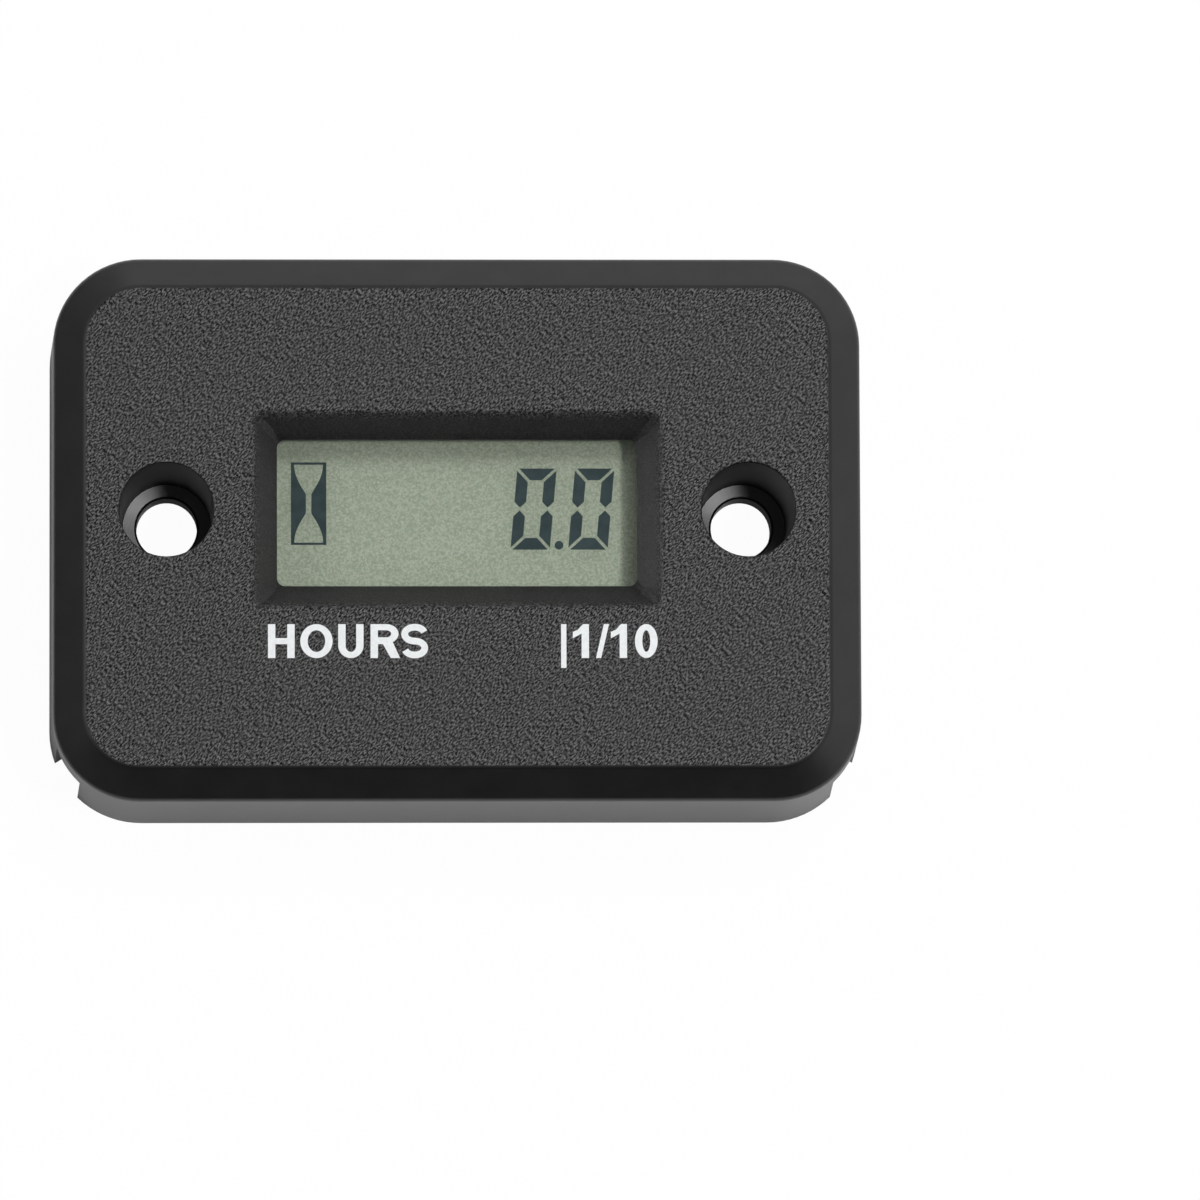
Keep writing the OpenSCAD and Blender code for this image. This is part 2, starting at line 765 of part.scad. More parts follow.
module lead_grommet() {
    wall_x = cavity_w / 2;
    color("#1f1f1f")
        translate([-wall_x, inlet_y, inlet_z]) rotate([0, -90, 0])
            difference() {
                union() {
                    translate([0, 0, -flange_t]) cylinder(r = flange_r, h = flange_t);
                    cylinder(r = grommet_r, h = chamber_wall);
                    translate([0, 0, chamber_wall]) cylinder(r = flange_r, h = flange_t);
                }
                translate([0, 0, -flange_t - past])
                    cylinder(d = lead_d, h = chamber_wall + 2 * (flange_t + past));
            }
}

module cover_gasket() {
    color("#2a2a2c") gasket_ring(0, z_rim, z_rim + gasket_d);
}

module rear_cover() {
    color("#2e2e2e")
        difference() {
            union() {
                round_block(chamber_w, chamber_h, chamber_r, z_cover, z_rim);
                at_places(ear_places) translate([0, 0, z_cover]) cylinder(r = ear_r, h = cover_t);
            }
            plate(
                chamber_w - 2 * panel_margin, chamber_h - 2 * panel_margin,
                z_cover - past, z_cover + panel_d
            );
            at_places(ear_places) {
                translate([0, 0, z_cover - past]) cylinder(r = pass_r, h = cover_t + 2 * past);
                translate([0, 0, z_cover - past])
                    cylinder(d = screw_head_d + 2 * pass_play, h = screw_head_h + past);
            }
        }
}

module cover_screws() {
    color("#8d8f92") at_places(ear_places) translate([0, 0, z_cover + screw_head_h]) small_screw();
}

front_case();
window_lens();
lens_seal();
display_polariser();
display_front_glass();
display_segments();
display_edge_seal();
display_rear_glass();
display_reflector();
display_holder();
contact_strips();
circuit_board();
controller_dome();
crystal();
resistors();
capacitors();
input_transistor();
clamp_diode();
lead_terminal();
board_screws();
coin_cell();
cell_tab_plus();
cell_tab_minus();
lead_grommet();
cover_gasket();
rear_cover();
cover_screws();
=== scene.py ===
import math

import bmesh
import bpy
from mathutils import Matrix, Vector


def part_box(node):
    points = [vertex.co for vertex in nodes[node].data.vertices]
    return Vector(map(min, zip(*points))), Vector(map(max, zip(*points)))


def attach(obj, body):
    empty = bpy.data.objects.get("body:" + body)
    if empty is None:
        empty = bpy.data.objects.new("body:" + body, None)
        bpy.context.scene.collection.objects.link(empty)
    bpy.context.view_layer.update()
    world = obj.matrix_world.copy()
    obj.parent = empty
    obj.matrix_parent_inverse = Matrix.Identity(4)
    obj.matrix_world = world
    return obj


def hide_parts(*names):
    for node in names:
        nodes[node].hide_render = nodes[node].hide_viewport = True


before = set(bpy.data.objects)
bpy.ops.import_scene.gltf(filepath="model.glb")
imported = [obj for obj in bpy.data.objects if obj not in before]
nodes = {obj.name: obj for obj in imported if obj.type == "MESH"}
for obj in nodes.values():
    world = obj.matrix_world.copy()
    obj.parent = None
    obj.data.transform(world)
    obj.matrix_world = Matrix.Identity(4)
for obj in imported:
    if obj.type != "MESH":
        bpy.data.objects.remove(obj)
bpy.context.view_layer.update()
mm = 0.001
print("frame loaded:", len(nodes), "nodes")


def spanOf(node):                        # a node's lowest and highest corner, in millimetres
    low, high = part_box(node)
    return Vector(low) / mm, Vector(high) / mm


faceZ = spanOf("front_case")[1].z
lensLow, lensHigh = spanOf("window_lens")
displayY = (lensLow.y + lensHigh.y) / 2


# Camera: a little below the display's axis and left of it, far enough for a flat view
cameraSet = {
    "distance": 900,                     # millimetres from the aim
    "aim": (10.45, -5.20, 13.4),
    "tilt": 6.25,                        # degrees towards the lower edge
    "yaw": -1.97,                        # degrees towards the left, below zero
    "roll": -0.23,
    "lens": 368.5,
    "sensor": 36,
}


def makeCamera(s):
    tilt, yaw, roll = (math.radians(s[k]) for k in ("tilt", "yaw", "roll"))
    back = Vector((math.sin(yaw), -math.sin(tilt) * math.cos(yaw), math.cos(tilt) * math.cos(yaw)))
    level = Vector((0, 1, 0)).cross(back).normalized()
    rise = back.cross(level)
    right = level * math.cos(roll) + rise * math.sin(roll)
    up = rise * math.cos(roll) - level * math.sin(roll)
    data = bpy.data.cameras.new("camera")
    data.lens, data.sensor_width = s["lens"], s["sensor"]
    camera = bpy.data.objects.new("camera", data)
    place = (Vector(s["aim"]) + back * s["distance"]) * mm
    camera.matrix_world = Matrix.Translation(place) @ Matrix((right, up, back)).transposed().to_4x4()
    bpy.context.collection.objects.link(camera)
    bpy.context.scene.camera = camera


makeCamera(cameraSet)
print("camera placed")


# A node socket that takes part in Python arithmetic
class Sock:
    def __init__(self, finish, socket):
        self.finish, self.socket = finish, socket

    def __add__(self, other):
        return self.finish.maths("ADD", self, other)

    def __sub__(self, other):
        return self.finish.maths("SUBTRACT", self, other)

    def __rsub__(self, other):
        return self.finish.maths("SUBTRACT", other, self)

    def __mul__(self, other):
        return self.finish.maths("MULTIPLY", self, other)

    def __mod__(self, other):
        return self.finish.maths("FLOORED_MODULO", self, other)

    def __abs__(self):
        return self.finish.maths("ABSOLUTE", self)

    __radd__ = __add__
    __rmul__ = __mul__


# One procedural material. Its coordinates are millimetres on the piece.
class Finish:
    def __init__(self, name, owner=None):
        self.owner = owner or bpy.data.materials.new(name)
        self.owner.use_nodes = True
        self.tree = self.owner.node_tree
        self.tree.nodes.clear()

    def add(self, kind, settings=None, values=None, out=0):
        node = self.tree.nodes.new(kind)
        for key, value in (settings or {}).items():
            if key == "stops":
                ramp = node.color_ramp.elements
                while len(ramp) < len(value):
                    ramp.new(0.5)
                for element, (spot, colour) in zip(ramp, value):
                    element.position, element.color = spot, (*colour, 1)
            else:
                setattr(node, key, value)
        for key, value in (values or {}).items():
            if isinstance(value, Sock):
                self.tree.links.new(value.socket, node.inputs[key])
            elif isinstance(value, tuple) and len(value) == 3 and node.inputs[key].type == "RGBA":
                node.inputs[key].default_value = (*value, 1)
            else:
                node.inputs[key].default_value = value
        return Sock(self, node.outputs[out]) if len(node.outputs) else None

    def maths(self, operation, *values):
        return self.add("ShaderNodeMath", {"operation": operation}, dict(enumerate(values)))

    def place(self, stretch=(1, 1, 1), shift=(0, 0, 0), turn=0):
        coords = self.add("ShaderNodeTexCoord", out="Object")
        if turn:
            spin = {"Vector": coords, "Angle": math.radians(turn)}
            coords = self.add("ShaderNodeVectorRotate", {"rotation_type": "Z_AXIS"}, spin)
        sizes = tuple(s / mm for s in stretch)
        return self.add(
            "ShaderNodeMapping", values={"Vector": coords, "Scale": sizes, "Location": shift}
        )

    def axes(self, shift=(0, 0, 0)):
        split = self.add("ShaderNodeSeparateXYZ", values={0: self.place(shift=shift)})
        return [Sock(self, socket) for socket in split.socket.node.outputs]

    def noise(self, scale, detail=2.0, roughness=0.5, stretch=(1, 1, 1), turn=0):
        where = self.place(stretch, turn=turn)
        values = {"Vector": where, "Scale": scale, "Detail": detail, "Roughness": roughness}
        return self.add("ShaderNodeTexNoise", values=values)

    def cells(self, scale):
        return self.add("ShaderNodeTexVoronoi", values={"Vector": self.place(), "Scale": scale})

    def rise(self, value, low, high):    # 0 at low, 1 at high, smooth between
        values = {"Value": value, "From Min": low, "From Max": high}
        return self.add("ShaderNodeMapRange", {"interpolation_type": "SMOOTHSTEP"}, values)

    def blend(self, share, first, second):
        return self.add(
            "ShaderNodeMix", {"data_type": "RGBA"}, {0: share, 6: first, 7: second}, out=2
        )

    def bump(self, height, depth):       # depth in millimetres
        return self.add("ShaderNodeBump", values={"Height": height, "Distance": depth * mm})

    def show(self, shader):
        self.add("ShaderNodeOutputMaterial", values={0: shader})
        return self.owner

    def coat(self, **values):
        named = {key.replace("_", " "): value for key, value in values.items()}
        return self.add("ShaderNodeBsdfPrincipled", values=named)

    def principled(self, **values):
        return self.show(self.coat(**values))


# Case plastic: spark-eroded grain on the face, fainter round the window, satin everywhere else. The grain's
# colour is painted glints over painted shade, and the slopes round the window carry painted light and
# shade.
caseLook = {
    "black": (0.004, 0.004, 0.0041),
    "bloom": (0.007, 0.007, 0.0072),     # the paler film that handling leaves
    # painted shade in the grain's pits, under the painted glints on its tops
    "grainShade": (0.001, 0.001, 0.001),
    "grainGlint": (0.135, 0.135, 0.135),       # painted glints on the tops of the grain, streaked as the light falls across it
    "glintTurn": -45,                         # degrees; the turn of the painted glints' streaks, set by the light's direction
    "glintStretch": (0.45, 1, 1),
    "paintedGlints": (0.385, 0.705),            # share of the noise from which a top gets its painted glint, and fully so
    "glintSize": 0.1,                     # millimetres
    "grainSize": 0.19,                   # millimetres
    "grainDepth": 0.085,
    "skinDepth": 0.06,                   # of the faint waves in the satin
    "grainEdge": 0.05,                   # the grain fades out over this depth below the face
    "frameGrain": 0.5,                   # share of the grain on the slopes round the window
    "frameFade": 0.9,                    # the slopes lose most of it over this depth
    "framePaintedLight": (0.019, 0.019, 0.0185),    # the slopes are matt, and painted paler to stand in for the light they catch
    "framePaintedShade": (2.3, 1.3),             # painted shade: they darken between these depths, towards the window
    "frameHalf": (15.4, 7.6),            # half the width and height of that frame
    "frameDeep": 3.2,                    # and its depth
    "satin": 0.36,                       # roughness of the bevels, wells and walls
    "grainy": 0.28,
    "grainGloss": 0.08,                  # the grain's pits swallow part of its shine
}


def casePlastic():
    s, f = caseLook, Finish("case plastic")
    x, y, z = f.axes()
    onFace = f.rise(z, faceZ - s["grainEdge"], faceZ - s["grainEdge"] / 5)
    wide, tall = s["frameHalf"]
    across = 1 - f.rise(abs(x), wide, wide + 0.2)
    above = f.rise(z, faceZ - s["frameDeep"], faceZ - s["frameDeep"] + 0.1)
    inFrame = across * (1 - f.rise(abs(y - displayY), tall, tall + 0.2)) * above
    down = f.rise(z, faceZ - s["frameFade"], faceZ)
    grained = f.maths("MAXIMUM", onFace, inFrame * s["frameGrain"] * (down + 0.35))
    grain = f.noise(1 / s["grainSize"], 1.0, 0.5)
    # painted glints: stretched noise that lights the grain's tops as the key light would
    paintedGlints = f.noise(1 / s["glintSize"], 1.0, 0.5, s["glintStretch"], s["glintTurn"])
    swirl = f.noise(0.35, 3.0, 0.6)
    fine = f.noise(9.0, 3.0, 0.6)
    satinSkin = fine * 0.037 + swirl * 0.275
    plain = f.blend(f.rise(swirl, 0.35, 0.7), s["black"], s["bloom"])
    # painted light on the slopes, fading into painted shade deeper down towards the window
    lit = f.rise(z, faceZ - s["framePaintedShade"][0], faceZ - s["framePaintedShade"][1]) * 0.75 + 0.25
    plain = f.blend(inFrame * (1 - onFace) * (fine * 0.6 + 0.7) * lit, plain, s["framePaintedLight"])
    satin = f.coat(
        Base_Color=plain,
        Roughness=fine * 0.06 + (s["satin"] - 0.03),
        Normal=f.bump(satinSkin, s["skinDepth"]),
    )
    # the grain's colour is painted glints over painted shade
    rough = f.coat(
        Base_Color=f.blend(f.rise(paintedGlints, *s["paintedGlints"]), s["grainShade"], s["grainGlint"]),
        Roughness=fine * 0.1 + (s["grainy"] - 0.05),
        Normal=f.bump(grain * (f.noise(0.9, 2.0, 0.5) * 0.8 + 0.6), s["grainDepth"]),
        Specular_IOR_Level=s["grainGloss"],
    )
    return f.show(f.add("ShaderNodeMixShader", values={0: grained, 1: satin, 2: rough}))


# White print: a thin coat of ink that follows the grain
inkLook = {"white": (0.74, 0.76, 0.77), "worn": (0.68, 0.70, 0.71)}


def printInk():
    s, f = inkLook, Finish("print ink")
    wear = f.noise(3.4, 3.0, 0.6)
    return f.principled(
        Base_Color=f.blend(f.rise(wear, 0.35, 0.62), s["worn"], s["white"]),
        Roughness=wear * 0.2 + 0.4,
        Normal=f.bump(f.noise(1 / caseLook["grainSize"], 1.0, 0.5), 0.006),
    )


# Clear pieces let light straight through and mirror a little, more at a slant
clearLook = {
    "lens": {"tint": (0.97, 0.975, 0.965), "index": 1.49, "roughness": 0.04},
    "pane": {"tint": (0.985, 0.99, 0.98), "index": 1.12, "roughness": 0.1},
}


def clearSheet(name, s):
    f = Finish(name)
    smudge = f.noise(0.25, 4.0, 0.6)
    skin = f.bump(smudge, 0.01)
    through = f.add("ShaderNodeBsdfTransparent", values={"Color": s["tint"]})
    gloss = f.add(
        "ShaderNodeBsdfGlossy",
        values={"Roughness": f.rise(smudge, 0.3, 0.8) * 0.05 + s["roughness"], "Normal": skin},
    )
    bare = ((s["index"] - 1) / (s["index"] + 1)) ** 2
    slant = f.add("ShaderNodeLayerWeight", values={"Blend": 0.5}, out="Facing")
    share = f.maths("POWER", slant, 5) * (1 - bare) + bare
    return f.show(f.add("ShaderNodeMixShader", values={0: share, 1: through, 2: gloss}))


# The display's own finishes
displayLook = {
    "sage": (0.43, 0.48, 0.39),
    "rose": (0.455, 0.475, 0.413),        # the faint pink of the polarised light, in patches
    "dull": (0.30, 0.345, 0.272),
    "slate": (0.020, 0.038, 0.044),
    "slateLight": (0.030, 0.052, 0.058),
    "gloss": 0.04,                       # the film in front takes the shine off both
}


def reflectorFoil():
    s, f = displayLook, Finish("reflector foil")
    sparkle = f.noise(6.5, 1.0, 0.6)
    hue = f.rise(f.noise(2.6, 2.0, 0.6), 0.35, 0.65)
    return f.principled(
        Base_Color=f.blend(f.rise(sparkle, 0.3, 0.7), s["dull"], f.blend(hue, s["sage"], s["rose"])),
        Roughness=sparkle * 0.25 + 0.45,
        Normal=f.bump(sparkle, 0.01),
        Specular_IOR_Level=s["gloss"],
    )


def segmentInk():
    s, f = displayLook, Finish("segment ink")
    drift = f.noise(0.8, 2.0, 0.5)
    return f.principled(
        Base_Color=f.blend(f.rise(drift, 0.35, 0.65), s["slate"], s["slateLight"]),
        Roughness=f.noise(7.0) * 0.2 + 0.35,
        Specular_IOR_Level=s["gloss"],
    )


# Rubber and foam: matt black with a fine skin
def softBlack(name, tone, poreSize, poreDepth):
    f = Finish(name)
    pores = f.cells(1 / poreSize)
    dust = f.noise(0.7, 3.0, 0.6)
    pale = tuple(2.2 * c for c in tone)
    return f.principled(
        Base_Color=f.blend(f.rise(dust, 0.45, 0.75), tone, pale),
        Roughness=dust * 0.15 + 0.72,
        Normal=f.bump(pores, poreDepth),
    )


# Moulded or cured plastics inside the case
def mouldedPlastic(name, tone, shade, roughness):
    f = Finish(name)
    flow = f.noise(0.4, 3.0, 0.6, stretch=(1, 2.5, 1))
    skin = f.noise(6.0, 2.0, 0.6)
    return f.principled(
        Base_Color=f.blend(f.rise(flow, 0.35, 0.65), tone, shade),
        Roughness=skin * 0.12 + roughness,
        Normal=f.bump(skin, 0.006),
    )


# Contact strips: dark conducting layers between pale insulating ones
stripLook = {"pitch": 0.18, "dark": (0.012, 0.012, 0.013), "pale": (0.5, 0.36, 0.33)}


def contactRubber():
    s, f = stripLook, Finish("contact rubber")
    x = f.axes()[0]
    layer = abs((x + 100) % s["pitch"] - s["pitch"] / 2)
    band = f.rise(layer, s["pitch"] * 0.2, s["pitch"] * 0.3)
    return f.principled(
        Base_Color=f.blend(band, s["dark"], s["pale"]),
        Roughness=band * 0.15 + 0.6,
        Normal=f.bump(f.noise(5.0), 0.01),
    )


# Board: green mask over darker tracks, with bare laminate at the cut edges
boardLook = {
    "mask": (0.018, 0.105, 0.035),
    "track": (0.04, 0.19, 0.06),
    "laminate": (0.42, 0.36, 0.2),
    "trackPitch": 1.27,
    "trackWidth": 0.42,
}


def boardMask():
    s, f = boardLook, Finish("board mask")
    low, high = spanOf("circuit_board")
    x, _, z = f.axes()
    wander = f.noise(0.12, 0.0) * 6
    lane = abs((x + wander + 100) % s["trackPitch"] - s["trackPitch"] / 2)
    track = 1 - f.rise(lane, s["trackWidth"] / 2, s["trackWidth"] / 2 + 0.05)
    gap = f.rise(f.noise(0.18, 1.0), 0.42, 0.46)
    copper = track * gap
    inside = f.rise(z, low.z + 0.02, low.z + 0.05) * (1 - f.rise(z, high.z - 0.05, high.z - 0.02))
    weave = f.noise(2.5, 2.0, 0.5, stretch=(1, 1, 4))
    return f.principled(
        Base_Color=f.blend(inside, f.blend(copper, s["mask"], s["track"]), s["laminate"]),
        Roughness=inside * 0.4 + weave * 0.1 + 0.25,
        Normal=f.bump(copper * 0.6 + weave * 0.1, 0.03),
    )


# Chip components lie in rows along Y, with a tinned cap at each end
chipLook = {"tin": (0.62, 0.62, 0.6), "cap": 0.35}


def chipBody(name, tone, node, count):
    s, f = chipLook, Finish(name)
    low, high = spanOf(node)
    length = spanOf("clamp_diode")[1].y - spanOf("clamp_diode")[0].y
    pitch = (high.y - low.y - length) / (count - 1) if count > 1 else length + 1
    y = f.axes()[1]
    along = (y - low.y + 1e-4) % pitch
    near, far = s["cap"], length - s["cap"]
    body = f.rise(along, near, near + 0.03) * (1 - f.rise(along, far, far + 0.03))
    fleck = f.noise(8.0, 2.0, 0.6)
    moulded = f.blend(f.rise(fleck, 0.3, 0.7), tone, tuple(1.5 * c for c in tone))
    return f.principled(
        Base_Color=f.blend(body, s["tin"], moulded),
        Metallic=1 - body,
        Roughness=fleck * 0.2 + 0.3,
        Normal=f.bump(fleck, 0.008),
    )


# Drawn, turned or plated metal. The stretch lays the fine lines along the way that it was worked.
def workedMetal(name, tone, dull, stretch, roughness):
    f = Finish(name)
    lines = f.noise(4.0, 3.0, 0.6, stretch=stretch)
    stain = f.noise(0.5, 3.0, 0.6)
    return f.principled(
        Base_Color=f.blend(f.rise(stain, 0.4, 0.75), tone, dull),
        Metallic=1.0,
        Roughness=lines * 0.18 + roughness,
        Normal=f.bump(lines, 0.004),
    )


# Coin cell: rings from the press on both faces
def cellCan():
    f = Finish("cell can")
    low, high = spanOf("coin_cell")
    middle = (low + high) / 2
    x, y, _ = f.axes(shift=(-middle.x, -middle.y, 0))
    radius = f.maths("SQRT", x * x + y * y)
    rings = f.maths("SINE", radius * 42.0 + f.noise(0.8) * 3.0)
    stain = f.noise(0.4, 4.0, 0.6)
    return f.principled(
        Base_Color=f.blend(f.rise(stain, 0.45, 0.75), (0.6, 0.6, 0.59), (0.44, 0.44, 0.43)),
        Metallic=1.0,
        Roughness=rings * 0.03 + stain * 0.15 + 0.22,
        Normal=f.bump(rings, 0.0015),
    )


looks = {
    "front_case": casePlastic(),
    "print": printInk(),
    "window_lens": clearSheet("window lens", clearLook["lens"]),
    "pane": clearSheet("display pane", clearLook["pane"]),
    "display_reflector": reflectorFoil(),
    "display_segments": segmentInk(),
    "lens_seal": softBlack("seal foam", (0.012, 0.012, 0.012), 0.18, 0.04),
    "rubber": softBlack("moulded rubber", (0.010, 0.010, 0.011), 0.3, 0.015),
    "display_edge_seal": mouldedPlastic("cured epoxy", (0.20, 0.22, 0.17), (0.27, 0.28, 0.21), 0.35),
    "display_holder": mouldedPlastic("holder plastic", (0.76, 0.75, 0.71), (0.68, 0.67, 0.63), 0.42),
    "contact_strips": contactRubber(),
    "circuit_board": boardMask(),
    "epoxy": mouldedPlastic("black epoxy", (0.012, 0.012, 0.013), (0.022, 0.022, 0.023), 0.4),
    "resistors": chipBody("resistor body", (0.014, 0.014, 0.016), "resistors", 4),
    "capacitors": chipBody("capacitor body", (0.30, 0.18, 0.075), "capacitors", 2),
    "input_transistor": chipBody("transistor body", (0.016, 0.016, 0.017), "input_transistor", 1),
    "clamp_diode": chipBody("diode body", (0.02, 0.02, 0.022), "clamp_diode", 1),
    "can": workedMetal("crystal can", (0.66, 0.66, 0.65), (0.5, 0.5, 0.49), (0.15, 3, 3), 0.2),
    "tab": workedMetal("nickel tab", (0.62, 0.6, 0.56), (0.5, 0.48, 0.44), (3, 0.2, 3), 0.28),
    "zinc": workedMetal("zinc plate", (0.52, 0.53, 0.55), (0.36, 0.37, 0.39), (1, 1, 1), 0.3),
    "brass": workedMetal("tinned brass", (0.7, 0.56, 0.3), (0.5, 0.38, 0.18), (2, 2, 0.3), 0.25),
    "coin_cell": cellCan(),
}
print("finishes made:", len(looks))


def addPiece(name, mesh, look, slot, *replaced):
    piece = bpy.data.objects.new(name, mesh)
    bpy.context.collection.objects.link(piece)
    mesh.materials.clear()
    mesh.materials.append(looks[look])
    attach(piece, "root")
    if replaced:
        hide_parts(*replaced)
    return piece


def evaluated(thing):                    # a thing's mesh with its modifiers applied
    graph = bpy.context.evaluated_depsgraph_get()
    mesh = bpy.data.meshes.new_from_object(thing.evaluated_get(graph), depsgraph=graph)
    mesh.name = thing.name
    return mesh


# Round nodes are shown by a welded copy with smooth walls, because their own facets stand apart
roundPieces = {
    "case_shell": ("front_case", "front_case", "case_black"),
    "cover_shell": ("rear_cover", "front_case", "case_black"),
    "grommet": ("lead_grommet", "rubber", "rubber_black"),
    "gasket": ("cover_gasket", "rubber", "rubber_black"),
    "dome": ("controller_dome", "epoxy", "chip_black"),
    "crystal_can": ("crystal", "can", "steel"),
    "terminal": ("lead_terminal", "brass", "brass"),
    "cell": ("coin_cell", "coin_cell", "steel"),
    "digits": ("display_segments", "display_segments", "display_ink"),
}


def flatOf(face):                        # names the plane that a face lies in
    return *(round(c, 2) for c in face.normal), round(face.normal.dot(face.center) / mm, 1)


def cornerNormals(mesh, limit):          # mean normal of the faces at a corner, weighted by flat size
    flats = {}
    for face in mesh.polygons:
        flats[flatOf(face)] = flats.get(flatOf(face), 0) + face.area
    around = {}
    for face in mesh.polygons:
        spots = [mesh.vertices[v].co for v in face.vertices]
        for i, v in enumerate(face.vertices):
            back, on = spots[i - 1] - spots[i], spots[(i + 1) % len(spots)] - spots[i]
            weight = flats[flatOf(face)] * back.angle(on, 0)
            around.setdefault(v, []).append((face.normal.copy(), weight))
    least = math.cos(math.radians(limit))
    normals = []
    for face in mesh.polygons:
        for v in face.vertices:
            near = [n * weight for n, weight in around[v] if n.dot(face.normal) > least]
            normals.append(sum(near, Vector()).normalized())
    return normals


# The screw seats are dished a little towards their holes
seatSet = {"holes": ((-21.3, 1.25), (21.3, 1.25)), "height": 3.0, "radius": 3.25, "dish": 0.14}
smoothAngle = 30                         # degrees up to which two faces shade as one


def dishSeats(shape, s):
    for v in shape.verts:
        x, y, z = v.co / mm
        away = min(math.hypot(x - holeX, y - holeY) for holeX, holeY in s["holes"])
        if abs(z - s["height"]) < 0.01 and abs(away - s["radius"]) < 0.05:
            v.co.z += s["dish"] * mm


def smoothCopy(name, node, look, slot):
    mesh = nodes[node].data.copy()
    mesh.name = name
    shape = bmesh.new()
    shape.from_mesh(mesh)
    bmesh.ops.remove_doubles(shape, verts=shape.verts, dist=1e-6)
    if name == "case_shell":
        dishSeats(shape, seatSet)
    shape.to_mesh(mesh)
    shape.free()
    mesh.polygons.foreach_set("use_smooth", [True] * len(mesh.polygons))
    mesh.normals_split_custom_set(cornerNormals(mesh, smoothAngle))
    return addPiece(name, mesh, look, slot, node)


made = {name: smoothCopy(name, *how) for name, how in roundPieces.items()}
made["digits"].visible_shadow = False    # the liquid dims the light behind it only where it is seen
print("smooth copies:", len(made))


# Flat nodes keep their own mesh and get a finish
flatNodes = {
    "lens_seal": "lens_seal",
    "display_reflector": "display_reflector",
    "display_edge_seal": "display_edge_seal",
    "display_holder": "display_holder",
    "contact_strips": "contact_strips",
    "circuit_board": "circuit_board",
    "resistors": "resistors",
    "capacitors": "capacitors",
    "input_transistor": "input_transistor",
    "clamp_diode": "clamp_diode",
    "cell_tab_plus": "tab",
    "cell_tab_minus": "tab",
}
for node, look in flatNodes.items():
    nodes[node].data.materials.clear()
    nodes[node].data.materials.append(looks[look])


# Clear sheets with ground edges. The film is laminated to the front glass, so one sheet shows both.
sheetSet = {
    "lens_sheet": (("window_lens",), "window_lens", "lens_clear", 0.15),
    "front_pane": (("display_front_glass", "display_polariser"), "pane", "display_glass", 0.06),
    "rear_pane": (("display_rear_glass",), "pane", "display_glass", 0.06),
}


def clearPiece(name, replaced, look, slot, edge):
    low, high = spanOf(replaced[0])
    high.z = max(spanOf(node)[1].z for node in replaced)
    inset = Vector((0, 0, 0.01))         # keeps its faces off the neighbours that it touches
    low, high = low + inset, high - inset
    shape = bmesh.new()
    bmesh.ops.create_cube(shape, size=1)
    size, middle = high - low, (low + high) / 2
    for v in shape.verts:
        v.co = Vector(middle[i] + v.co[i] * size[i] for i in range(3)) * mm
    bmesh.ops.bevel(
        shape, geom=shape.edges[:], offset=edge * mm, segments=2, profile=0.5, affect="EDGES"
    )
    mesh = bpy.data.meshes.new(name)
    shape.to_mesh(mesh)
    shape.free()
    piece = addPiece(name, mesh, look, slot, *replaced)
    piece.visible_shadow = piece.visible_diffuse = False
    return piece


for name, (replaced, look, slot, edge) in sheetSet.items():
    clearPiece(name, replaced, look, slot, edge)
print("clear sheets:", len(sheetSet))


# Unit legend under the window: plain bold letters in thin ink, in millimetres on the face
printSet = {
    "thickness": 0.02,
    "sink": 0.008,                       # how far the ink's back lies below the face
    "capHeight": 2.49,
    "baseline": -9.69,
    "stem": 0.54,                        # width of an upright stroke
    "beam": 0.45,                        # width of a level stroke
    "steps": 24,                         # points on half a turn
    "barDrop": 0.73,                     # how far the bar reaches below the baseline
    "words": {                           # shape, left edge, width
        "hours_print": (
            ("H", -13.89, 1.95), ("O", -11.53, 2.36), ("U", -8.76, 1.85), ("R", -6.40, 2.15),
            ("S", -4.15, 1.95),
        ),
        "tenths_print": (
            ("bar", 7.52, 0.39), ("1", 8.38, 1.18), ("/", 10.07, 0.96), ("1", 11.16, 1.18),
            ("O", 12.92, 1.66),
        ),
    },
}


def arc(middle, rx, ry, start, end):     # points of an oval, between two angles in degrees
    count = max(2, round(printSet["steps"] * abs(end - start) / 180))
    turns = [math.radians(start + (end - start) * i / count) for i in range(count + 1)]
    return [(middle[0] + rx * math.cos(a), middle[1] + ry * math.sin(a)) for a in turns]


def letterH(w, h, s):
    t, low, high = s["stem"], (h - s["beam"]) / 2, (h + s["beam"]) / 2
    left = [(t, high), (t, h), (0, h), (0, 0), (t, 0), (t, low)]
    return [left + [(w - x, y) for x, y in reversed(left)]]


def letterO(w, h, s):
    middle = (w / 2, h / 2)
    inner = arc(middle, w / 2 - s["stem"], h / 2 - s["beam"], 0, 360)
    return [arc(middle, w / 2, h / 2, 0, 360)[:-1], inner[:-1]]


def letterU(w, h, s):
    r, t = 0.37 * h, s["stem"]
    outer = [(0, h)] + arc((w / 2, r), w / 2, r, 180, 360) + [(w, h)]
    inner = [(w - t, h)] + arc((w / 2, r), w / 2 - t, r - s["beam"], 360, 180) + [(t, h)]
    return [outer + inner]


def letterR(w, h, s):
    t, b, r = s["stem"], s["beam"], 0.285 * h
    rx, middle = 0.42 * w, (0.53 * w, h - r)
    waist = h - 2 * r
    leg = [(t, 0), (t, waist - 0.1 * b), (0.42 * w, waist - 0.1 * b), (w - 1.25 * t, 0), (w, 0)]
    outer = [(0, 0)] + leg + arc(middle, rx, r, -58, 90) + [(0, h)]
    hole = [(t, h - b)] + arc(middle, rx - t, r - b, 90, -90) + [(t, waist + b)]
    return [outer, hole]


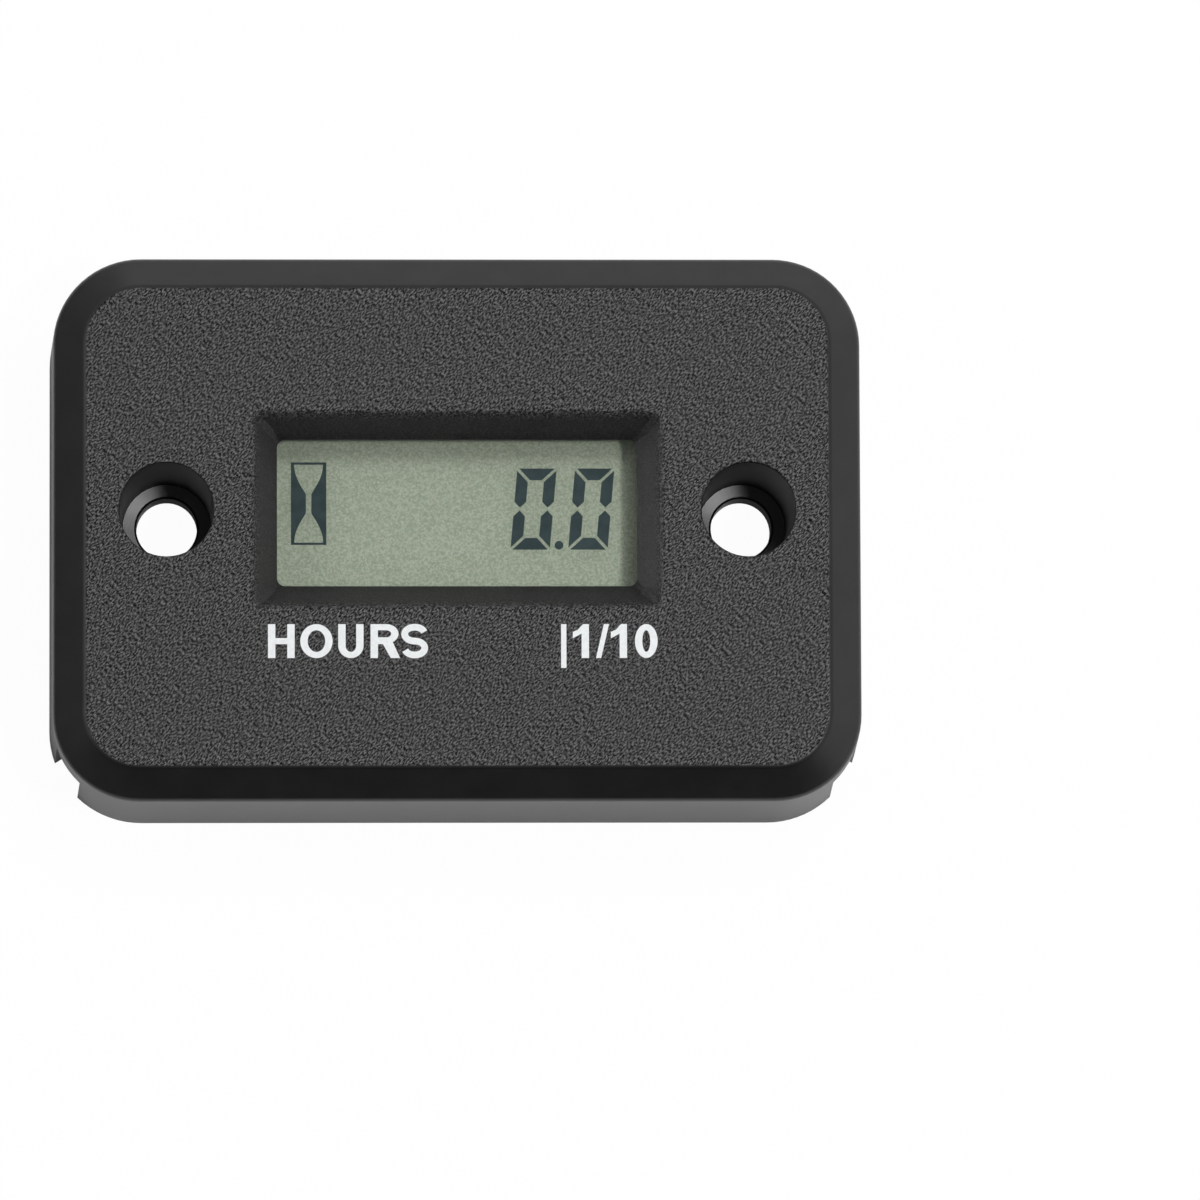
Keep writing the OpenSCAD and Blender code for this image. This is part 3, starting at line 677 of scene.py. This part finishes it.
def letterS(w, h, s):
    half, ry = s["beam"] / 2 + 0.02, h / 4 - s["beam"] / 4
    rx, low, high = w / 2 - half, h / 2 - ry, h / 2 + ry
    upper = arc((w / 2, high), rx, ry, 18, 270)
    line = upper + arc((w / 2, low), rx, ry, 90, -162)[1:]
    sides = ([], [])
    for i, (x, y) in enumerate(line):
        before, after = Vector(line[max(i - 1, 0)]), Vector(line[min(i + 1, len(line) - 1)])
        out = (after - before).normalized().orthogonal() * half
        sides[0].append((x + out.x, y + out.y))
        sides[1].append((x - out.x, y - out.y))
    return [sides[0] + sides[1][::-1]]


def figure1(w, h, s):
    t = s["stem"]
    flag = [(w - 0.8 * t, h), (0.3 * w, 0.83 * h), (0, 0.77 * h), (0, 0.58 * h), (w - t, 0.72 * h)]
    return [[(w - t, 0), (w, 0), (w, h)] + flag]


def slash(w, h, s):
    t = 0.7 * s["stem"]
    return [[(0, 0), (t, 0), (w, h), (w - t, h)]]


def bar(w, h, s):
    return [[(0, -s["barDrop"]), (w, -s["barDrop"]), (w, h), (0, h)]]


letters = {
    "H": letterH, "O": letterO, "U": letterU, "R": letterR, "S": letterS,
    "1": figure1, "/": slash, "bar": bar,
}


def printWord(name, word, s):
    curve = bpy.data.curves.new(name, "CURVE")
    curve.dimensions, curve.fill_mode, curve.extrude = "2D", "BOTH", s["thickness"] / 2
    for letter, left, width in word:
        for loop in letters[letter](width, s["capHeight"], s):
            line = curve.splines.new("POLY")
            line.points.add(len(loop) - 1)
            line.points.foreach_set("co", [v for x, y in loop for v in (left + x, s["baseline"] + y, 0, 1)])
            line.use_cyclic_u, line.use_smooth = True, False
    draft = bpy.data.objects.new(name + "_draft", curve)
    bpy.context.collection.objects.link(draft)
    mesh = evaluated(draft)
    bpy.data.objects.remove(draft)
    lift = Vector((0, 0, faceZ - s["sink"] + s["thickness"] / 2))
    mesh.transform(Matrix.Scale(mm, 4) @ Matrix.Translation(lift))
    mesh.name = name
    return addPiece(name, mesh, "print", None)


for name, word in printSet["words"].items():
    printWord(name, word, printSet)
print("legend printed")


# Small cross-head screws, one shape set at every place by a node tree
screwSet = {
    "headR": 1.6, "headH": 1.0, "crown": 0.35, "headEdge": 0.08,
    "coreR": 0.66, "crestR": 0.84, "length": 5.5, "pitch": 0.6, "steepness": 3.2,
    "tip": 0.7, "tipShare": 0.55,        # length of the point, and its end's share of the radius
    "crossL": 1.9, "crossW": 0.45, "crossD": 0.6, "crossTaper": 0.6,
    "around": 32, "stepsPerTurn": 8, "seed": 7, "sharp": 40,
}


def lathe(shape, profile, around):       # closed skin around Z from (radius, height) points
    rings = []
    for radius, height in profile:
        if radius == 0:
            rings.append([shape.verts.new((0, 0, height))])
        else:
            turns = [2 * math.pi * i / around for i in range(around)]
            spots = [(radius * math.cos(a), radius * math.sin(a), height) for a in turns]
            rings.append([shape.verts.new(spot) for spot in spots])
    for low, high in zip(rings, rings[1:]):
        for i in range(around):
            j = (i + 1) % around
            corners = [low[i % len(low)], low[j % len(low)], high[j % len(high)], high[i % len(high)]]
            shape.faces.new(list(dict.fromkeys(corners)))


def screwMesh(s):
    shape = bmesh.new()
    crown = [
        (s["headR"] * math.sin(a), -s["headH"] + s["crown"] * (1 - math.cos(a)))
        for a in (math.radians(90) * i / 6 for i in range(1, 7))
    ]
    edge = s["headEdge"]
    head = [(0, -s["headH"])] + crown + [(s["headR"], -edge), (s["headR"] - edge, 0), (0, 0)]
    lathe(shape, [(r * mm, z * mm) for r, z in head], s["around"])
    bmesh.ops.recalc_face_normals(shape, faces=shape.faces)
    mesh = bpy.data.meshes.new("screw_head")
    shape.to_mesh(mesh)
    shape.free()
    head = bpy.data.objects.new("screw_head", mesh)
    bpy.context.collection.objects.link(head)

    cut = bmesh.new()
    for turn in (0, 90):
        made = bmesh.ops.create_cube(cut, size=1)["verts"]
        for v in made:
            deep = v.co.z > 0
            taper = s["crossTaper"] if deep else 1.0
            x, y = v.co.x * s["crossL"] * taper, v.co.y * s["crossW"] * taper
            z = -s["headH"] + (s["crossD"] if deep else -0.5)
            v.co = Matrix.Rotation(math.radians(turn), 3, "Z") @ Vector((x, y, z)) * mm
    tool = bpy.data.objects.new("cross_tool", bpy.data.meshes.new("cross_tool"))
    cut.to_mesh(tool.data)
    cut.free()
    bpy.context.collection.objects.link(tool)
    recess = head.modifiers.new("recess", "BOOLEAN")
    recess.operation, recess.object, recess.solver, recess.use_self = "DIFFERENCE", tool, "EXACT", True
    cutHead = evaluated(head)
    bpy.data.objects.remove(head)
    bpy.data.objects.remove(tool)

    shape = bmesh.new()
    shape.from_mesh(cutHead)
    around, turns = s["around"] // 2, s["length"] / s["pitch"]
    steps = int(turns * s["stepsPerTurn"])
    rings = []
    for k in range(steps + 1):
        z = s["length"] * k / steps
        fade = min(1, (s["length"] - z) / s["tip"])
        ring = []
        for i in range(around):
            phase = (z / s["pitch"] - i / around) % 1
            ridge = max(0, 1 - abs(phase - 0.5) * s["steepness"])
            narrowed = s["tipShare"] + (1 - s["tipShare"]) * fade
            radius = (s["coreR"] + (s["crestR"] - s["coreR"]) * ridge) * narrowed
            a = 2 * math.pi * i / around
            ring.append(shape.verts.new(Vector((radius * math.cos(a), radius * math.sin(a), z)) * mm))
        rings.append(ring)
    for low, high in zip(rings, rings[1:]):
        for i in range(around):
            j = (i + 1) % around
            shape.faces.new((low[i], low[j], high[j], high[i]))
    shape.faces.new(rings[0][::-1])
    shape.faces.new(rings[-1])
    mesh = bpy.data.meshes.new("screw")
    shape.to_mesh(mesh)
    shape.free()
    mesh.polygons.foreach_set("use_smooth", [True] * len(mesh.polygons))
    mesh.set_sharp_from_angle(angle=math.radians(s["sharp"]))
    return mesh


def placingTree():
    tree = bpy.data.node_groups.new("screws at places", "GeometryNodeTree")
    face = tree.interface
    for name, kind in (
        ("Places", "NodeSocketGeometry"), ("Screw", "NodeSocketObject"),
        ("Turn Seed", "NodeSocketInt"), ("Finish", "NodeSocketMaterial"),
    ):
        face.new_socket(name, in_out="INPUT", socket_type=kind)
    face.new_socket("Screws", in_out="OUTPUT", socket_type="NodeSocketGeometry")
    new, link = tree.nodes.new, tree.links.new
    start, end = new("NodeGroupInput"), new("NodeGroupOutput")
    source = new("GeometryNodeObjectInfo")
    turn = new("FunctionNodeRandomValue")
    spin = new("ShaderNodeCombineXYZ")
    put = new("GeometryNodeInstanceOnPoints")
    real = new("GeometryNodeRealizeInstances")
    paint = new("GeometryNodeSetMaterial")
    turn.data_type = "FLOAT"
    turn.inputs[3].default_value = math.pi / 2
    link(start.outputs["Turn Seed"], turn.inputs["Seed"])
    link(turn.outputs[1], spin.inputs["Z"])
    link(start.outputs["Screw"], source.inputs["Object"])
    link(start.outputs["Places"], put.inputs["Points"])
    link(source.outputs["Geometry"], put.inputs["Instance"])
    link(spin.outputs[0], put.inputs["Rotation"])
    link(put.outputs[0], real.inputs[0])
    link(real.outputs[0], paint.inputs["Geometry"])
    link(start.outputs["Finish"], paint.inputs["Material"])
    link(paint.outputs[0], end.inputs[0])
    return tree


def screwsAt(name, node, tree, screw, s):
    low, high = spanOf(node)
    seat = low.z + s["headH"]
    places = screwPlaces(node, s)
    mesh = bpy.data.meshes.new(name)
    mesh.from_pydata([Vector((x, y, seat)) * mm for x, y in places], [], [])
    points = bpy.data.objects.new(name + "_points", mesh)
    bpy.context.collection.objects.link(points)
    made = points.modifiers.new("screws", "NODES")
    made.node_group = tree
    wanted = {"Screw": screw, "Turn Seed": s["seed"], "Finish": looks["zinc"]}
    for item in tree.interface.items_tree:
        if item.in_out == "INPUT" and item.name in wanted:
            made[item.identifier] = wanted[item.name]
    result = evaluated(points)
    bpy.data.objects.remove(points)
    result.name = name
    return addPiece(name, result, "zinc", "screw_steel", node)


def screwPlaces(node, s):                # middles of the node's screws, from the corners of its mesh
    spots = []
    for v in nodes[node].data.vertices:
        spot = Vector((v.co.x, v.co.y)) / mm
        near = [g for g in spots if (g[0] / g[1] - spot).length < 2 * s["headR"]]
        if near:
            near[0][0] += spot
            near[0][1] += 1
        else:
            spots.append([spot, 1])
    return [tuple(g[0] / g[1]) for g in spots]


screwTree = placingTree()
screwShape = bpy.data.objects.new("screw_shape", screwMesh(screwSet))
bpy.context.collection.objects.link(screwShape)
for name, node in (("cover_fixings", "cover_screws"), ("board_fixings", "board_screws")):
    screwsAt(name, node, screwTree, screwShape, screwSet)
bpy.data.objects.remove(screwShape)
print("screws placed")


# Stage: white floor that keeps a soft shadow, a tent of light that is darker overhead, four keys,
# and flags out of sight on the sides that the lower and left bevels mirror
stageSet = {
    "floor": 3.0,                        # metres across
    "floorDrop": 0.02,                   # millimetres below the rim
    "floorWhite": 0.97,                  # share of plain white that the camera sees
    "mirrored": 0.06,                    # share of it that gloss and glass show
    "tent": ((0.0, 0.9), (0.12, 0.82), (0.4, 0.62), (0.8, 0.4), (0.92, 0.1)),    # height, light there
    "flags": {                           # middle, width, height, tone
        "lower_flag": ((-0.15, -0.30), 1.0, 0.36, 0.01),
        "left_flag": ((-0.055, 0.0), 0.3, 0.024, 0.3),
    },
    "keys": {                            # place, size, power
        "upper_key": ((0.22, 0.34, 1.12), 0.36, 4.7),
        "side_key": ((0.32, -0.12, 1.15), 0.10, 5.4),
        "low_key": ((-0.80, 0.0, 0.17), 0.16, 0.9),
        "left_key": ((-0.55, 0.05, 0.66), 0.30, 0.6),
    },
}


def whiteShare(f, s):                    # plain white for the camera's rays, less for mirrored ones
    path = f.add("ShaderNodeLightPath").socket.node.outputs
    camera, glossy, through = (
        Sock(f, path[name]) for name in ("Is Camera Ray", "Is Glossy Ray", "Is Transmission Ray")
    )
    return camera + (glossy + through) * s["mirrored"]


def makeWorld(s):
    world = bpy.data.worlds.new("studio")
    bpy.context.scene.world = world
    f = Finish("studio", world)
    way = f.add("ShaderNodeTexCoord", out="Generated")
    height = Sock(f, f.add("ShaderNodeSeparateXYZ", values={0: way}).socket.node.outputs["Z"])
    stops = [(spot, (light,) * 3) for spot, light in s["tent"]]
    tent = f.add("ShaderNodeValToRGB", {"stops": stops}, {0: height})
    sky = f.blend(whiteShare(f, s), tent, (1, 1, 1))
    light = f.add("ShaderNodeBackground", values={"Color": sky})
    f.add("ShaderNodeOutputWorld", values={0: light})


def panel(name, corners, shader):
    mesh = bpy.data.meshes.new(name)
    mesh.from_pydata(corners, [], [(0, 1, 2, 3)])
    mesh.materials.append(shader)
    thing = bpy.data.objects.new(name, mesh)
    bpy.context.collection.objects.link(thing)
    return thing


def makeFloor(s):
    f = Finish("floor paper")
    fibre = f.noise(0.8, 3.0, 0.6)
    pulp = f.blend(fibre, (0.86, 0.86, 0.86), (0.9, 0.9, 0.9))
    paper = f.add("ShaderNodeBsdfDiffuse", values={"Color": pulp})
    white = f.add("ShaderNodeEmission", values={"Color": (1, 1, 1), "Strength": 1.0})
    share = whiteShare(f, s) * s["floorWhite"]
    look = f.show(f.add("ShaderNodeMixShader", values={0: share, 1: paper, 2: white}))
    half, drop = s["floor"] / 2, -s["floorDrop"] * mm
    panel("floor", [(x * half, y * half, drop) for x, y in ((-1, -1), (1, -1), (1, 1), (-1, 1))], look)


def makeFlags(s):
    for name, ((x, y), width, height, tone) in s["flags"].items():
        f = Finish(name)
        cloth = f.blend(f.noise(0.5), (tone,) * 3, (1.4 * tone,) * 3)
        look = f.show(f.add("ShaderNodeBsdfDiffuse", values={"Color": cloth}))
        out = Vector((0, 1, 0)) if abs(y) > abs(x) else Vector((1, 0, 0))
        side = Vector((-out.y, out.x, 0)) * width / 2
        middle = Vector((x, y, 0))
        top = Vector((0, 0, height))
        thing = panel(name, [middle - side, middle + side, middle + side + top, middle - side + top], look)
        thing.visible_camera = False


def makeKeys(s):
    for name, (spot, size, power) in s["keys"].items():
        data = bpy.data.lights.new(name, "AREA")
        data.shape, data.size, data.energy = "SQUARE", size, power
        key = bpy.data.objects.new(name, data)
        key.location = spot
        key.rotation_euler = Vector(spot).to_track_quat("Z", "Y").to_euler()
        bpy.context.collection.objects.link(key)


makeWorld(stageSet)
makeFloor(stageSet)
makeFlags(stageSet)
makeKeys(stageSet)
bpy.context.scene.view_settings.view_transform = "Standard"
print("stage set")
